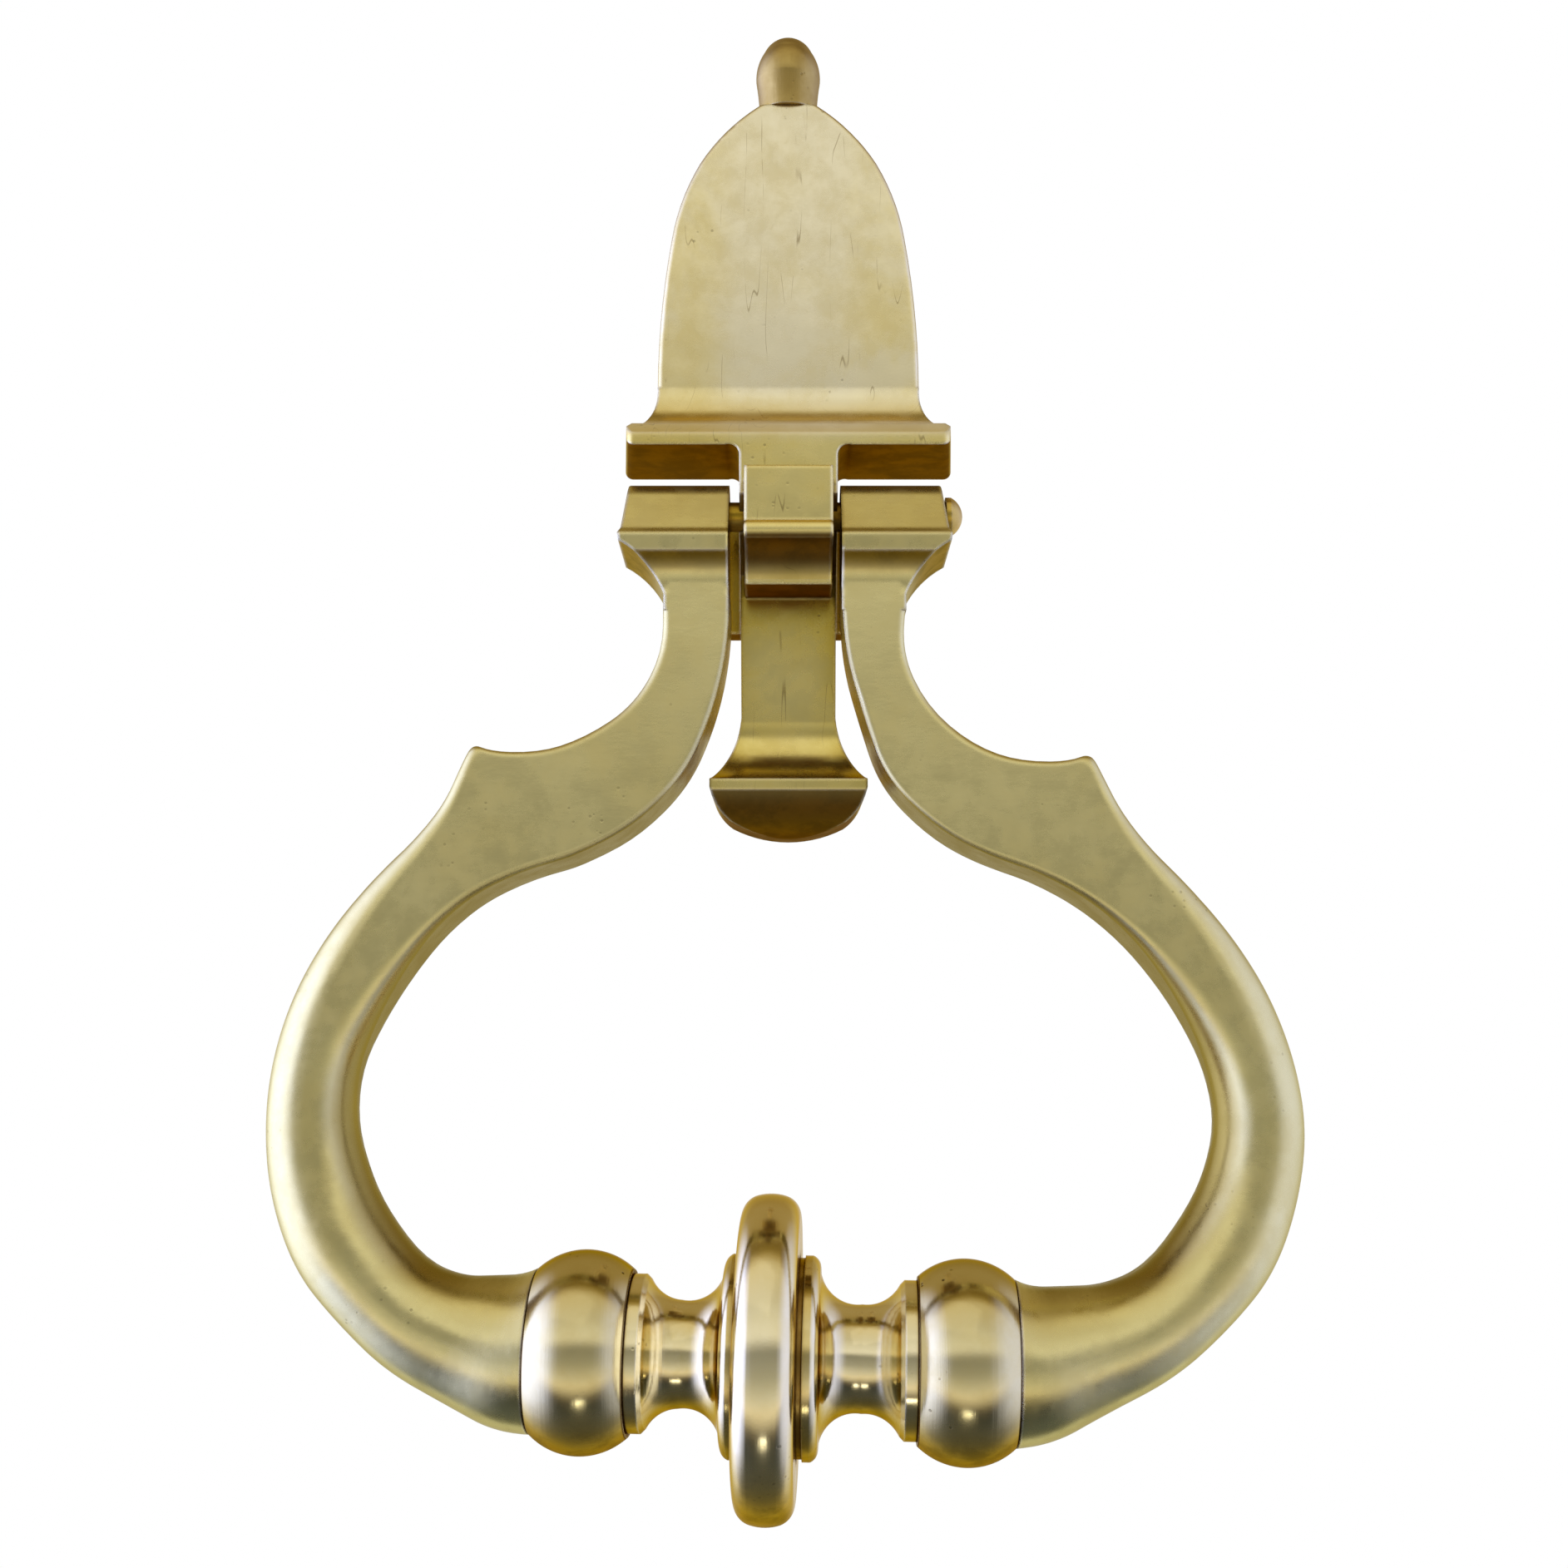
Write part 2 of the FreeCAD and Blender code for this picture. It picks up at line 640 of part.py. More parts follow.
def ear():
    """The right ear: its front outline with the side moulding, cut to the side profile, so
    that lip and cove are mitred round the outer front corner."""
    body = make_body("ear_casting")
    front = sketch_on(body, "XZ_Plane", "ear_front")
    outline(front, [
        ("ear_inner", "-ear_outer"),
        ("ear_inner", "ear_outer"),
        ("ear_top_side_a", "ear_outer"),
        point("ear_top_side"),
        point("ear_top_turn") + point("ear_top_end"),
        point("ear_side_lip"),
        point("ear_side_edge"),
        point("ear_side_low"),
        point("ear_side_cove") + point("ear_side_end"),
        ("ear_side_end_a", "-ear_outer"),
    ])
    pad(body, front, "ear_pad", "2 * sizes.ear_outer", symmetric=True)

    radius = size("ear_barrel_radius")
    lip = FreeCAD.Vector(size("ear_lip_top_a"), size("ear_lip_top_b"), 0)
    reach = lip.Length
    swing = math.degrees(math.acos(radius / reach))
    tangent = FreeCAD.Rotation(FreeCAD.Vector(0, 0, 1), -swing)
    touch = tangent.multVec(lip * (radius / reach))
    side = sketch_on(body, "YZ_Plane", "ear_side")
    frame_outline(side, [
        (radius, 0),
        (radius * EIGHTH_TURN, radius * EIGHTH_TURN, touch.x, touch.y),
        point("ear_lip_top"),
        point("ear_lip_edge"),
        point("ear_lip_low"),
        point("ear_cove") + point("ear_cove_end"),
        ("ear_cove_end_a", "ear_bottom"),
        ("ear_rear", "ear_bottom"),
        ("ear_rear", "ear_rear_top"),
    ])
    pocket(body, side, "ear_profile")
    round_edges(body, "ear_edges", "sizes.worn_edge", is_ear_edge)
    return body


def is_ear_edge(edge):
    """The most proud edge of the ear's lip, along its front and its side."""
    box = edge.BoundBox
    level = box.ZLength < 0.01 and abs(box.ZMin - size("ear_lip_edge_b")) < 0.01
    front = box.YMax < size("ear_lip_edge_a") + 0.01
    side = box.XMin > size("ear_side_edge_a") - 0.01
    return level and (front or side)


def rib_wire(number, sign):
    """One section of an arm: a rectangle with round corners, across the flat of the ring."""
    cell = {name: size(f"rib_{number}_{name}") for name in RIB_CELLS}
    outer = FreeCAD.Vector(sign * cell["outer_x"], 0, cell["outer_z"])
    inner = FreeCAD.Vector(sign * cell["inner_x"], 0, cell["inner_z"])
    across = (outer - inner).normalize()
    outer -= across * (sign * cell["outer_uneven"])
    inner += across * (sign * cell["inner_uneven"])
    middle = (outer + inner) * 0.5
    forward = FreeCAD.Vector(0, -1, 0)
    half = outer.distanceToPoint(inner) / 2
    thick = cell["half_thick"]
    most = min(half, thick) - size("least_flat")
    outer_round = min(cell["outer_round"], most)
    inner_round = min(cell["inner_round"], most)
    corners = [(1, 1, outer_round), (-1, 1, inner_round),
               (-1, -1, inner_round), (1, -1, outer_round)]

    def spot(a, b):
        return middle + across * a + forward * b

    edges = []
    last = None
    first = None
    for side, face, radius in corners:
        centre_a = side * (half - radius)
        centre_b = face * (thick - radius)
        along = spot(side * half, centre_b)
        over = spot(centre_a, face * thick)
        reach = radius * EIGHTH_TURN
        turn = spot(centre_a + side * reach, centre_b + face * reach)
        begin, end = (along, over) if side == face else (over, along)
        if last is not None:
            edges.append(Part.LineSegment(last, begin).toShape())
        else:
            first = begin
        edges.append(Part.Arc(begin, turn, end).toShape())
        last = end
    edges.append(Part.LineSegment(last, first).toShape())
    wire = Part.Wire(edges)
    hang = FreeCAD.Rotation(FreeCAD.Vector(0, 1, 0), cell["askew"])
    skewed = slant(cell["share"]).multiply(FreeCAD.Placement(FreeCAD.Vector(), hang))
    wire.Placement = skewed
    return wire


def arm_bar(hand, sign):
    """The S-shaped bar of one arm, from the ear past the spur to the ball."""
    bar = doc.addObject("Part::Feature", hand + "_arm_bar")
    wires = [rib_wire(number, sign) for number in range(len(ARM_RIBS))]
    bar.Shape = Part.makeLoft(wires, True, False, False, LOFT_DEGREE)
    return bar


def arms():
    """Both arms: the left ear is the right one mirrored, and its pin hole is blind."""
    right_ear = ear()
    doc.recompute()
    left_ear = doc.addObject("Part::Mirroring", "left_ear")
    left_ear.Source = right_ear
    left_ear.Base = FreeCAD.Vector(0, 0, 0)
    left_ear.Normal = FreeCAD.Vector(1, 0, 0)
    made = []
    for hand, casting, sign in (("right", right_ear, 1), ("left", left_ear, -1)):
        blank = doc.addObject("Part::Fuse", hand + "_arm_blank")
        blank.Base = casting
        blank.Tool = arm_bar(hand, sign)
        blank.Refine = True
        hole_end = "sizes.ear_outer" if sign > 0 else "sizes.pin_blind_end"
        pin_hole = cylinder(hand + "_pin_hole", "sizes.pin_radius", hole_end,
                            (0, 0, 0), (sign, 0, 0))
        rod_hole = cylinder(hand + "_rod_hole", "sizes.rod_radius", "sizes.rod_half_length",
                            (0, 0, 0), (sign, 0, 0))
        rod_hole.Placement = grip_place().multiply(rod_hole.Placement)
        arm = cut(hand + "_arm", blank, pin_hole, rod_hole)
        place_on_ring(arm)
        made.append(arm)
    return made


# ---------------------------------------------------------------- turned grip

def turned(name, steps, sign=1, along=0):
    """A piece of the grip: half its section, turned about the grip's axis."""
    body = make_body(name)
    half = sketch_on(body, "XY_Plane", name + "_half")
    outline(half, steps if sign > 0 else [flip(step) for step in steps])
    revolve(body, half, "H_Axis", name + "_turned")
    shift = FreeCAD.Placement(FreeCAD.Vector(along, 0, 0), FreeCAD.Rotation())
    place_on_ring(body, grip_place().multiply(shift))
    return body


def grip():
    hole = size("rod_radius") + size("rod_hole_gap")
    pieces = []
    for hand, sign in (("right", 1), ("left", -1)):
        pieces.append(turned(hand + "_ball", [
            ("seam_half", hole),
            ("seam_half", "ball_end_radius"),
            ("ball_middle", "ball_radius", "ball_inner", "ball_inner_radius"),
            ("ball_inner", hole),
        ], sign))
        inner = size("disc_half_width") + sign * size("disc_middle")
        if sign > 0:
            inner += size("washer_thickness")
        rim = inner + size("flange_width")
        waist = size("waist_middle") + sign * size("waist_shift")
        pieces.append(turned(hand + "_spool", [
            ("ball_inner", hole),
            ("ball_inner", "collar_radius"),
            ("collar_inner", "collar_radius"),
            point("waist_outer"),
            point("waist_outer_mid") + (waist, "waist_radius"),
            (rim + size("waist_inner_mid_a"), "waist_inner_mid_b",
             rim + size("waist_inner_a"), "waist_inner_b"),
            (rim + size("flange_edge_a"), "flange_edge_b", rim, "flange_radius"),
            (inner, "flange_radius"),
            (inner, hole),
        ], sign))
    width = size("disc_half_width")
    crown = ("disc_shoulder_a", "disc_shoulder_b")
    pieces.append(turned("striker_disc", [
        (width, hole),
        point("disc_side"),
        point("disc_turn") + crown,
        (0, "disc_radius") + flip(crown),
        flip(point("disc_turn") + point("disc_side")),
        (-width, hole),
    ], along=size("disc_middle")))
    pieces.append(turned("disc_washer", [
        (width, hole),
        (width, "washer_radius"),
        (width + size("washer_thickness"), "washer_radius"),
        (width + size("washer_thickness"), hole),
    ], along=size("disc_middle")))
    pieces.append(turned("tie_rod", [
        ("-rod_half_length", 0),
        ("-rod_half_length", "rod_radius"),
        ("rod_half_length", "rod_radius"),
        ("rod_half_length", 0),
    ]))
    return pieces


# ---------------------------------------------------------------- fixings in the door

def stud(name, height):
    """A stud screwed into the back of the plate, with a thread cut on its free end."""
    body = make_body(name)
    half = sketch_on(body, "XY_Plane", name + "_half")
    outline(half, [
        (0, "-stud_in_plate"),
        ("stud_thread_radius", "-stud_in_plate"),
        ("stud_thread_radius", "-stud_relief_depth"),
        ("stud_radius", "-stud_relief_depth"),
        ("stud_radius", "stud_grip_end"),
        ("stud_thread_radius", "stud_grip_end"),
        ("stud_thread_radius", "stud_end"),
        (0, "stud_end"),
    ])
    revolve(body, half, "V_Axis", name + "_turned")
    body.Placement.Base = FreeCAD.Vector(0, 0, size(height))
    return body


def door_washers():
    rings = []
    for height in ("upper_stud_height", "lower_stud_height"):
        place = (0, size("door_thickness"), size(height))
        plate = cylinder("washer_blank", "sizes.door_washer_radius",
                         "sizes.door_washer_thickness", place, (0, 1, 0))
        hole = cylinder("washer_hole", "sizes.stud_thread_radius",
                        "sizes.door_washer_thickness", place, (0, 1, 0))
        rings.append(cut("washer_of_" + height, plate, hole))
    return group("door_washers", rings)


def door_nuts():
    nuts = []
    for height in ("upper_stud_height", "lower_stud_height"):
        start = size("door_thickness") + size("door_washer_thickness")
        place = FreeCAD.Vector(0, start, size(height))
        hexagon = doc.addObject("Part::Prism", "nut_blank")
        hexagon.Polygon = 6
        bind(hexagon, "Circumradius", "sizes.nut_corner_radius")
        bind(hexagon, "Height", "sizes.nut_height")
        turn = FreeCAD.Rotation(FreeCAD.Vector(0, 0, 1), FreeCAD.Vector(0, 1, 0))
        hexagon.Placement = FreeCAD.Placement(place, turn)
        crown = doc.addObject("Part::Sphere", "nut_crown")
        bind(crown, "Radius", "sizes.nut_crown_radius")
        crown.Placement.Base = place + FreeCAD.Vector(0, size("nut_height") / 2, 0)
        trimmed = doc.addObject("Part::Common", "nut_trimmed")
        trimmed.Base = hexagon
        trimmed.Tool = crown
        hole = cylinder("nut_hole", "sizes.stud_thread_radius", "sizes.nut_height",
                        tuple(place), (0, 1, 0))
        nuts.append(cut("nut_of_" + height, trimmed, hole))
    return group("door_nuts", nuts)


def group(name, members):
    """Identical fasteners as one node of separate solids."""
    compound = doc.addObject("Part::Compound", name)
    compound.Label = name
    compound.Links = members
    return compound


# ---------------------------------------------------------------- the whole knocker

def check(nodes):
    """Stops on any failed feature or bad shape before a file is written."""
    for thing in doc.Objects:
        if "Invalid" in thing.State or "Error" in thing.State:
            raise RuntimeError(f"{thing.Name} failed: {thing.State}")
    for node in nodes:
        if node.Shape.isNull() or not node.Shape.isValid():
            raise RuntimeError(f"{node.Label} has no valid shape")


fill_sheet()
nodes = [
    back_plate(),
    acorn_finial(),
    hinge_pin(),
    *arms(),
    *grip(),
    stud("upper_stud", "upper_stud_height"),
    stud("lower_stud", "lower_stud_height"),
    door_washers(),
    door_nuts(),
]
doc.recompute()
check(nodes)
os.makedirs("parts", exist_ok=True)
for node in nodes:
    node.Shape.exportStep(f"parts/{node.Label}.step")
    box = node.Shape.BoundBox
    print(f"{node.Label:14s} {len(node.Shape.Solids)} solid {node.Shape.Volume:9.1f} mm3 "
          f"{box.XMin:7.2f} {box.XMax:7.2f} {box.YMin:7.2f} {box.YMax:7.2f} "
          f"{box.ZMin:8.2f} {box.ZMax:7.2f}")
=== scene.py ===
import math
from types import SimpleNamespace

import bpy
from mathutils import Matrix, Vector


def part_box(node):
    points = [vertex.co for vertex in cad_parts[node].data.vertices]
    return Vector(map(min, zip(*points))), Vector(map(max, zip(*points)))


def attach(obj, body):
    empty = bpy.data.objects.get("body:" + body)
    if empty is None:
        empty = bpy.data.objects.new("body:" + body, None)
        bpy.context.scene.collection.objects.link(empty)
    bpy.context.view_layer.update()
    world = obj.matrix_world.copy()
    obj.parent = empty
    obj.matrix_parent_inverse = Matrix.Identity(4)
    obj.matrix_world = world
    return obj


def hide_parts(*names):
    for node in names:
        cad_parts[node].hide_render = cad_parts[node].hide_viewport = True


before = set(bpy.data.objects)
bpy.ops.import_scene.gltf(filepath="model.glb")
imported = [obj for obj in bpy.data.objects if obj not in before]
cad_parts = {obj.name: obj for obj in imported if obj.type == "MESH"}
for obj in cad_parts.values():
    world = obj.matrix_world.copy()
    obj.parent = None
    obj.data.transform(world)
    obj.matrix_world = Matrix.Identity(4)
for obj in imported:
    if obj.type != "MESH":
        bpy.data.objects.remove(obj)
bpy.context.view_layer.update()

MM = 0.001

# Camera: a third of a metre in front of the door, level with the ring's opening, looking
# slightly up.
CAMERA_PLACE = (-0.75 * MM, -315 * MM, -81.1 * MM)
CAMERA_PITCH = 6.78
CAMERA_LENS = 41.37


# ---------------------------------------------------------------- helpers

def add(name, data):
    """A new object in the scene."""
    thing = bpy.data.objects.new(name, data)
    bpy.context.scene.collection.objects.link(thing)
    return thing


class Nodes:
    """Short calls for building a shader tree."""

    def __init__(self, tree):
        self.tree = tree
        tree.nodes.clear()

    def new(self, kind, **settings):
        node = self.tree.nodes.new(kind)
        for name, value in settings.items():
            setattr(node, name, value)
        return node

    def link(self, source, target):
        self.tree.links.new(source, target)

    def feed(self, socket, value):
        """Sets a socket to a number or colour, or links another socket to it."""
        if isinstance(value, bpy.types.NodeSocket):
            self.link(value, socket)
        elif isinstance(value, (tuple, list)) and len(value) == 3 and socket.type == "RGBA":
            socket.default_value = (*value, 1.0)
        else:
            socket.default_value = value

    def coordinate(self, name):
        return self.new("ShaderNodeTexCoord").outputs[name]

    def split(self, vector):
        """The X, Y and Z sockets of a vector."""
        node = self.new("ShaderNodeSeparateXYZ")
        self.link(vector, node.inputs[0])
        return node.outputs

    def math(self, operation, first, second=0.0, clamp=False):
        node = self.new("ShaderNodeMath", operation=operation, use_clamp=clamp)
        self.feed(node.inputs[0], first)
        self.feed(node.inputs[1], second)
        return node.outputs[0]

    def dot(self, first, second):
        node = self.new("ShaderNodeVectorMath", operation="DOT_PRODUCT")
        self.feed(node.inputs[0], first)
        self.feed(node.inputs[1], second)
        return node.outputs["Value"]

    def mix(self, share, first, second, blend="MIX"):
        node = self.new("ShaderNodeMix", data_type="RGBA", blend_type=blend)
        self.feed(node.inputs["Factor"], share)
        self.feed(node.inputs[6], first)
        self.feed(node.inputs[7], second)
        return node.outputs[2]

    def ramp(self, value, low, high, start=0.0, end=1.0):
        """Maps low..high smoothly to start..end."""
        node = self.new("ShaderNodeMapRange", interpolation_type="SMOOTHSTEP")
        self.feed(node.inputs[0], value)
        for index, number in enumerate((low, high, start, end), start=1):
            node.inputs[index].default_value = number
        return node.outputs[0]

    def noise(self, place, scale, detail=4.0, rough=0.55, distort=0.0):
        node = self.new("ShaderNodeTexNoise")
        self.feed(node.inputs["Vector"], place)
        node.inputs["Scale"].default_value = scale
        node.inputs["Detail"].default_value = detail
        node.inputs["Roughness"].default_value = rough
        node.inputs["Distortion"].default_value = distort
        return node.outputs[0]

    def stretch(self, place, sizes, turn=(0.0, 0.0, 0.0)):
        node = self.new("ShaderNodeMapping")
        self.feed(node.inputs["Vector"], place)
        node.inputs["Scale"].default_value = sizes
        node.inputs["Rotation"].default_value = turn
        return node.outputs[0]

    def openness(self, samples, reach):
        """1 where nothing is near in front of the surface, 0 deep in a corner."""
        node = self.new("ShaderNodeAmbientOcclusion", samples=samples)
        node.inputs["Distance"].default_value = reach
        return node.outputs["AO"]

    def bump(self, height, distance, strength, normal):
        node = self.new("ShaderNodeBump")
        node.inputs["Strength"].default_value = strength
        node.inputs["Distance"].default_value = distance
        self.feed(node.inputs["Height"], height)
        self.link(normal, node.inputs["Normal"])
        return node.outputs[0]


# ---------------------------------------------------------------- brass

# Tints that multiply the brass, the colours of its tarnish, dirt and wear, and of painted shade
# and painted highlight.
GOLDEN_TINT = (0.97, 0.90, 0.52)
SIDES_TINT = (0.98, 0.94, 0.74)
INSIDE_PAINTED_SHADE = (0.30, 0.205, 0.03)
# DEEP_BROWN is painted shade deep in corners.
DEEP_BROWN = (0.24, 0.12, 0.008)
CREVICE_BROWN = (0.16, 0.07, 0.012)
SEAM_BROWN = (0.07, 0.025, 0.005)
PIT_BROWN = (0.08, 0.05, 0.02)
SCRATCH_BROWN = (0.22, 0.14, 0.04)
WORN_AND_HIGHLIGHT_BRASS = (0.93, 0.86, 0.60)

WARM_SHARE = 0.5
UNDER_SHADE_DARKER = 0.72
CORNER_REACH = 12 * MM
CREVICE_REACH = 2.2 * MM
GOLDEN_FADE = 5 * MM
UNDER_FADE = 6 * MM
DULL_FADE = 1 * MM
WAVE_HEIGHT = 0.5 * MM

# How many cells or waves of each pattern there are to a metre.
CLOUD_SCALE = 45.0
BLOTCH_SCALE = 190.0
PIT_SCALE = 620.0
PIT_FIELD_SCALE = 80.0
SCRATCH_STRETCH = (320.0, 320.0, 26.0)
SCRATCH_TURN = (0.2, 0.5, 0.4)
SCRATCH_FIELD_SCALE = 110.0
FINE_SCALE = 2600.0
WAVE_SCALE = 60.0

# Distances from the grip's middle to the joints of ball and arm, and of ball and collar.
SEAM = 37.5 * MM
COLLAR = 22.3 * MM
SEAM_CORE = 0.10 * MM
SEAM_EDGE = 0.30 * MM

# The middle of the hand opening. The arms get dark gold painted shade where they face it.
HAND_OPENING = (0.0, -21 * MM, -88 * MM)

BRASS_DEFAULTS = {
    "seed": 0.0,                          # moves the patterns, so that no two brasses match
    "grain_depth": 0.01 * MM,             # depth of the rubbing marks
    "pits": 0.3,                          # how strongly the pits show
    "edge": 0.4 * MM,                     # radius of the worn edges, which also carry a painted highlight
    "wave": 0.25,                         # strength of the slow unevenness
    "ring": None,                         # turning lines to a metre along X
    "rim_colour": (1.0, 1.0, 1.0),        # tint of what is seen at a grazing angle
    "under_colour": (0.66, 0.44, 0.09),   # painted shade on undersides
    "under_low": -1.0,                    # height below which undersides get no painted shade
    "close": 0.85,                        # openness below which corners get tarnish and painted shade
    "closed_colour": (0.60, 0.40, 0.02),  # tarnish and painted shade in corners
    "inside": None,                       # a point: what faces it gets dark gold painted shade
    "golden": None,                       # height below which the brass is more golden
    "sides": None,                        # distances from the middle where it is more golden
    "dull": None,                         # lowest and highest point of a duller band
    "scratches": 0.0,                     # strength of the scratches
    "seams": (),                          # distances of the dark joint lines
}


def brass(name, **settings):
    """Aged brass: clouds of warm tarnish, brown crevices, tarnish and painted shade in corners,
    painted shade on undersides and on faces toward a point, edges worn bright with a painted
    highlight, rubbing marks along one direction, scattered pits, and turning lines where it is
    turned.
    Every brass says its clean and warm colours, its roughness and the grain of its marks."""
    look = SimpleNamespace(**{**BRASS_DEFAULTS, **settings})
    material = bpy.data.materials.new(name)
    material.use_nodes = True
    n = Nodes(material.node_tree)
    place = n.stretch(n.coordinate("Object"), (1.0, 1.0, 1.0))
    place.node.inputs["Location"].default_value = (look.seed, look.seed * 0.7, look.seed * 1.3)
    spot = n.split(n.coordinate("Object"))
    facing = n.coordinate("Normal")

    cloud = n.noise(place, CLOUD_SCALE, 5.0, 0.6, 0.4)
    blotch = n.noise(place, BLOTCH_SCALE, 6.0, 0.65, 0.2)
    patch = n.math("ADD", n.math("MULTIPLY", cloud, 0.6), n.math("MULTIPLY", blotch, 0.4))
    colour = n.mix(n.ramp(patch, 0.40, 0.66, 0.0, WARM_SHARE), look.clean, look.warm)
    colour = zones(n, look, colour, spot, facing, cloud)
    # Tarnish and painted shade where other surfaces are near.
    colour = corners(n, look, colour, patch)
    # Painted shade: undersides darkened brown, in blotches.
    under_shade = underside_shade_share(n, look, spot, facing)
    darker = tuple(UNDER_SHADE_DARKER * part for part in look.under_colour)
    under_shade_blotches = n.mix(n.ramp(blotch, 0.40, 0.62), look.under_colour, darker)
    colour = n.mix(under_shade, colour, under_shade_blotches)
    crevice = n.ramp(n.openness(8, CREVICE_REACH), 0.40, 0.80, 1.0, 0.0)
    dirt = n.math("MULTIPLY", crevice, n.ramp(blotch, 0.3, 0.6, 0.5, 1.0))
    colour = n.mix(dirt, colour, CREVICE_BROWN)
    if look.seams:
        colour = n.mix(seam_lines(n, look.seams), colour, SEAM_BROWN)
    pit = pit_share(n, look, place)
    colour = n.mix(pit, colour, PIT_BROWN)
    if look.scratches:
        colour = n.mix(scratch_share(n, look, place), colour, SCRATCH_BROWN)

    roundness = n.new("ShaderNodeBevel", samples=4)
    roundness.inputs["Radius"].default_value = look.edge
    rounded = roundness.outputs[0]
    # Edges worn bright, partly a painted highlight.
    colour = n.mix(worn_and_highlight_share(n, rounded, crevice), colour, WORN_AND_HIGHLIGHT_BRASS)

    shader = n.new("ShaderNodeBsdfPrincipled")
    n.feed(shader.inputs["Base Color"], colour)
    shader.inputs["Metallic"].default_value = 1.0
    shader.inputs["Specular Tint"].default_value = (*look.rim_colour, 1.0)
    n.feed(shader.inputs["Roughness"], roughness(n, look, spot, blotch, dirt, under_shade))
    n.link(relief(n, look, place, pit, rounded), shader.inputs["Normal"])
    output = n.new("ShaderNodeOutputMaterial")
    n.link(shader.outputs[0], output.inputs["Surface"])
    return material


def zones(n, look, colour, spot, facing, cloud):
    """The places where a whole stretch of the brass is more golden, and the painted shade on faces
    toward a point.
    """
    if look.golden is not None:
        share = n.ramp(spot["Z"], look.golden, look.golden - GOLDEN_FADE)
        colour = n.mix(share, colour, GOLDEN_TINT, "MULTIPLY")
    if look.sides is not None:
        away = n.ramp(n.math("ABSOLUTE", spot["X"]), *look.sides)
        away = n.math("MULTIPLY", away, n.ramp(cloud, 0.40, 0.55, 0.4, 1.0))
        colour = n.mix(away, colour, SIDES_TINT, "MULTIPLY")
    if look.inside is not None:
        # Painted shade: dark gold on faces toward the given point.
        colour = n.mix(facing_share(n, facing, look.inside), colour, INSIDE_PAINTED_SHADE)
    return colour


def facing_share(n, facing, middle):
    """How far a surface looks toward a point: 1 straight at it, 0 side on or away."""
    toward = n.new("ShaderNodeVectorMath", operation="SUBTRACT")
    toward.inputs[0].default_value = middle
    n.link(n.coordinate("Object"), toward.inputs[1])
    unit = n.new("ShaderNodeVectorMath", operation="NORMALIZE")
    n.link(toward.outputs[0], unit.inputs[0])
    return n.ramp(n.dot(unit.outputs[0], facing), 0.25, 0.80, 0.0, 0.92)


def corners(n, look, colour, patch):
    """Golden tarnish and painted shade where other surfaces are near, and painted brown shade
    where they are very near.
    """
    stain_and_shade = n.ramp(patch, 0.3, 0.7, 0.06, -0.08)
    stain_and_shade = n.math("ADD", n.openness(6, CORNER_REACH), stain_and_shade)
    closed = n.ramp(stain_and_shade, look.close - 0.45, look.close, 0.9, 0.0)
    colour = n.mix(closed, colour, look.closed_colour)
    deep = n.ramp(stain_and_shade, look.close - 0.68, look.close - 0.36, 0.5, 0.0)
    return n.mix(deep, colour, DEEP_BROWN)


def underside_shade_share(n, look, spot, facing):
    """Painted shade: 1 where a surface looks down, above the height below which undersides get
    none.
    """
    share = n.ramp(n.split(facing)["Z"], -0.2, -0.75, 0.0, 0.94)
    high = n.ramp(spot["Z"], look.under_low - UNDER_FADE, look.under_low)
    return n.math("MULTIPLY", share, high)


def seam_lines(n, distances):
    """Dark joint lines round the grip at these distances from its middle, up to the balls' top."""
    left = sum(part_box("left_ball"), Vector()) / 2
    right = sum(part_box("right_ball"), Vector()) / 2
    middle = (left + right) / 2
    axis = (right - left).normalized()
    place = n.coordinate("Object")
    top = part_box("left_ball")[1].z
    near = n.ramp(n.split(place)["Z"], top + 2 * MM, top + 6 * MM, 1.0, 0.0)
    reach = n.math("SUBTRACT", n.dot(place, axis), middle.dot(axis))
    reach = n.math("ABSOLUTE", reach)
    line = 0.0
    for distance in distances:
        gap = n.math("ABSOLUTE", n.math("SUBTRACT", reach, distance))
        line = n.math("MAXIMUM", line, n.ramp(gap, SEAM_CORE, SEAM_EDGE, 0.95, 0.0))
    return n.math("MULTIPLY", line, near)


def pit_share(n, look, place):
    """Small dark pits, in a few fields."""
    cells = n.new("ShaderNodeTexVoronoi", feature="F1")
    n.feed(cells.inputs["Vector"], place)
    cells.inputs["Scale"].default_value = PIT_SCALE
    field = n.ramp(n.noise(place, PIT_FIELD_SCALE, 3.0, 0.5), 0.56, 0.66)
    pit = n.ramp(cells.outputs["Distance"], 0.10, 0.2, 1.0, 0.0)
    return n.math("MULTIPLY", n.math("MULTIPLY", pit, field), look.pits)


def scratch_share(n, look, place):
    """Thin slanting scratches, in a few fields."""
    lines = n.noise(n.stretch(place, SCRATCH_STRETCH, SCRATCH_TURN), 1.0, 1.0, 0.3)
    thin = n.ramp(n.math("ABSOLUTE", n.math("SUBTRACT", lines, 0.5)), 0.0, 0.006, 1.0, 0.0)
    field = n.ramp(n.noise(place, SCRATCH_FIELD_SCALE, 2.0), 0.50, 0.60)
    return n.math("MULTIPLY", n.math("MULTIPLY", thin, field), look.scratches)


def worn_and_highlight_share(n, rounded, crevice):
    """1 on sharp edges, where the rounded normal leaves the flat one, but not in crevices: wear
    and a painted highlight.
    """
    flat = n.new("ShaderNodeNewGeometry").outputs["True Normal"]
    worn = n.ramp(n.dot(rounded, flat), 0.985, 0.90, 0.0, 0.8)
    return n.math("MULTIPLY", worn, n.math("SUBTRACT", 1.0, crevice))


